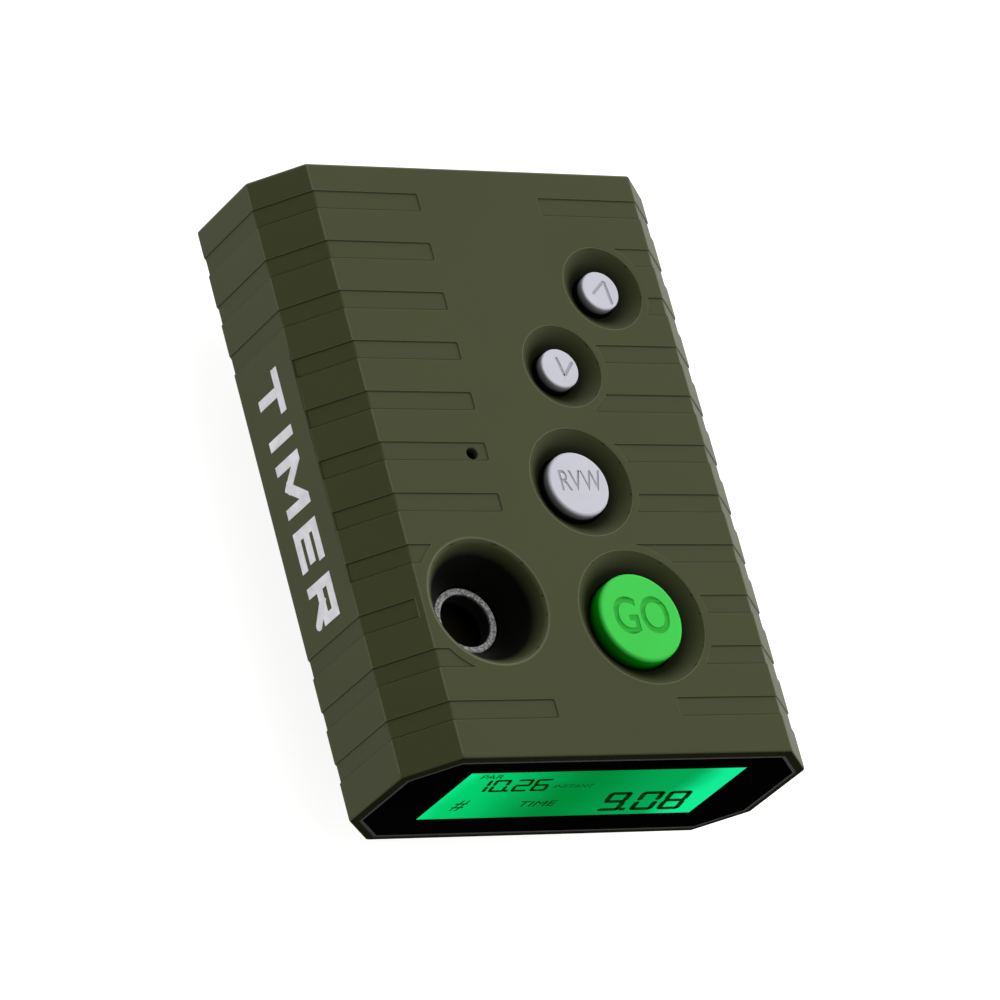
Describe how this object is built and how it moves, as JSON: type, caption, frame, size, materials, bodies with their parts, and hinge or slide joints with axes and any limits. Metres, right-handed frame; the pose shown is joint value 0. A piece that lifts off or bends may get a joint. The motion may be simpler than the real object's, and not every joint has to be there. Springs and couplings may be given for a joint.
{
  "type": "shot timer",
  "caption": "Handheld rubber-sleeved shot timer with push buttons, a loud buzzer, a lit end display, a hinged battery door and a sprung belt clip.",
  "frame": {"origin": "centre of the object's footprint, on the belt clip's outer face", "axes": "+Z out of the button face, -Y out of the display window, +Y towards the battery door, +X to the right when the display end is nearest"},
  "size_m": [0.075, 0.101, 0.039],
  "materials": {
    "olive_rubber": "matte moulded silicone",
    "black_case": "fine-textured moulded ABS",
    "window": "glossy black-backed acrylic window",
    "display_glass": "back-lit green liquid crystal display",
    "light_guide": "diffusing acrylic",
    "led": "clear epoxy",
    "elastomer": "soft conductive strip",
    "circuit_board": "green solder mask",
    "black_parts": "moulded epoxy",
    "smd_ceramic": "fired ceramic with tinned ends",
    "copper_wire": "enamelled copper winding",
    "steel": "zinc-plated steel",
    "blackened_steel": "blackened steel",
    "green_cap": "satin green push cap",
    "white_cap": "satin white push cap",
    "ivory_plastic": "moulded nylon",
    "grey_collar": "speckled grey moulding",
    "brass_disc": "bright rolled brass",
    "aluminium": "satin drawn aluminium",
    "black_rubber": "soft black rubber",
    "wire_insulation": "red lead insulation",
    "battery_wrap": "printed steel jacket",
    "foam": "open-cell foam"
  },
  "bodies": {
    "case": {"sleeve": "olive_rubber", "front_shell": "black_case", "rear_shell": "black_case", "display_window": "window", "lcd_glass": "display_glass", "display_holder": "black_case", "backlight_guide": "light_guide", "backlight_leds": "led", "lcd_connectors": "elastomer", "display_board": "circuit_board", "board_header": "black_parts", "main_board": "circuit_board", "processor_chip": "black_parts", "capacitors": "aluminium", "crystal": "steel", "smd_parts": "smd_ceramic", "boost_coil": "copper_wire", "go_switch": "black_parts", "review_switch": "black_parts", "down_switch": "black_parts", "up_switch": "black_parts", "buzzer_body": "black_parts", "buzzer_ring": "grey_collar", "buzzer_disc": "brass_disc", "buzzer_leads": "wire_insulation", "microphone": "aluminium", "mic_boot": "black_rubber", "mic_leads": "wire_insulation", "battery": "battery_wrap", "battery_terminals": "steel", "battery_snap": "black_rubber", "snap_contacts": "steel", "battery_leads": "wire_insulation", "battery_foam": "foam", "door_pin": "steel", "case_screws": "steel", "board_screws": "steel", "clip_bracket": "blackened_steel", "clip_screws": "steel", "clip_pin": "steel", "clip_spring": "steel"},
    "go_button": {"go_cap": "green_cap", "go_plunger": "ivory_plastic"},
    "review_button": {"review_cap": "white_cap", "review_plunger": "ivory_plastic"},
    "down_button": {"down_cap": "white_cap", "down_plunger": "ivory_plastic"},
    "up_button": {"up_cap": "white_cap", "up_plunger": "ivory_plastic"},
    "door": {"battery_door": "black_case"},
    "clip": {"clip_arm": "blackened_steel"}
  },
  "joints": [
    {"name": "go_press", "type": "slide", "parent": "case", "child": "go_button", "axis": [0, 0, -1], "range_m": [0, 0.0005], "stiffness_N_per_m": 1500, "springref_m": -0.0003},
    {"name": "review_press", "type": "slide", "parent": "case", "child": "review_button", "axis": [0, 0, -1], "range_m": [0, 0.0005], "stiffness_N_per_m": 1500, "springref_m": -0.0003},
    {"name": "down_press", "type": "slide", "parent": "case", "child": "down_button", "axis": [0, 0, -1], "range_m": [0, 0.0005], "stiffness_N_per_m": 1500, "springref_m": -0.0003},
    {"name": "up_press", "type": "slide", "parent": "case", "child": "up_button", "axis": [0, 0, -1], "range_m": [0, 0.0005], "stiffness_N_per_m": 1500, "springref_m": -0.0003},
    {"name": "door_hinge", "type": "hinge", "parent": "case", "child": "door", "pos_m": [-0.01835, 0.0492, 0.0132], "axis": [-1, 0, 0], "range_deg": [0, 100]},
    {"name": "clip_hinge", "type": "hinge", "parent": "case", "child": "clip", "pos_m": [0, -0.025, 0.0042], "axis": [-1, 0, 0], "range_deg": [0, 20], "stiffness_Nm_per_rad": 0.3, "springref_deg": -17.19, "deforming": ["clip_spring"]}
  ]
}
